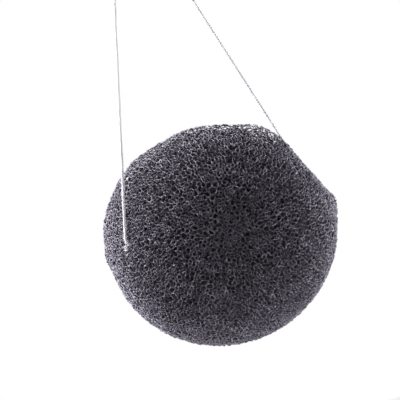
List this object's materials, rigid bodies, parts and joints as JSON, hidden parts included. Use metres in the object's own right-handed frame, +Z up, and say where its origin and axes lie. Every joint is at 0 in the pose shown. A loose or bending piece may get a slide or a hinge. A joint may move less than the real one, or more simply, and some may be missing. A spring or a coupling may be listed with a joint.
{
  "type": "konjac sponge",
  "caption": "Charcoal konjac sponge: a moulded half ball, threaded on a thin white cotton cord that is knotted in a loop to hang it by.",
  "frame": {"origin": "middle of the knot that closes the cord loop, where the sponge is hung", "axes": "+Z up from the sponge to the knot; +X along the threaded stretch of the cord, towards its mouth on the flat back; +Y towards the flat back, away from the dome's front"},
  "size_m": [0.0771, 0.0604, 0.1861],
  "materials": {
    "charcoal_sponge": "matte",
    "cotton_cord": "matte"
  },
  "bodies": {
    "knot": {"cord_knot": "cotton_cord"},
    "neck": {"cord_neck": "cotton_cord"},
    "loop": {"cord_left_leg": "cotton_cord", "cord_right_leg": "cotton_cord", "threaded_cord": "cotton_cord"},
    "sponge": {"sponge": "charcoal_sponge"}
  },
  "joints": [
    {"name": "swing_sideways", "type": "hinge", "parent": "knot", "child": "neck", "pos_m": [0, 0, 0], "axis": [0, 1, 0], "range_deg": [-40, 40]},
    {"name": "swing_front_back", "type": "hinge", "parent": "neck", "child": "loop", "pos_m": [0, 0, -0.00647], "axis": [1, 0, 0], "range_deg": [-40, 40]},
    {"name": "sponge_turn", "type": "hinge", "parent": "loop", "child": "sponge", "pos_m": [0, 0, -0.13], "axis": [1, 0, 0], "range_deg": [-22, 5]}
  ]
}
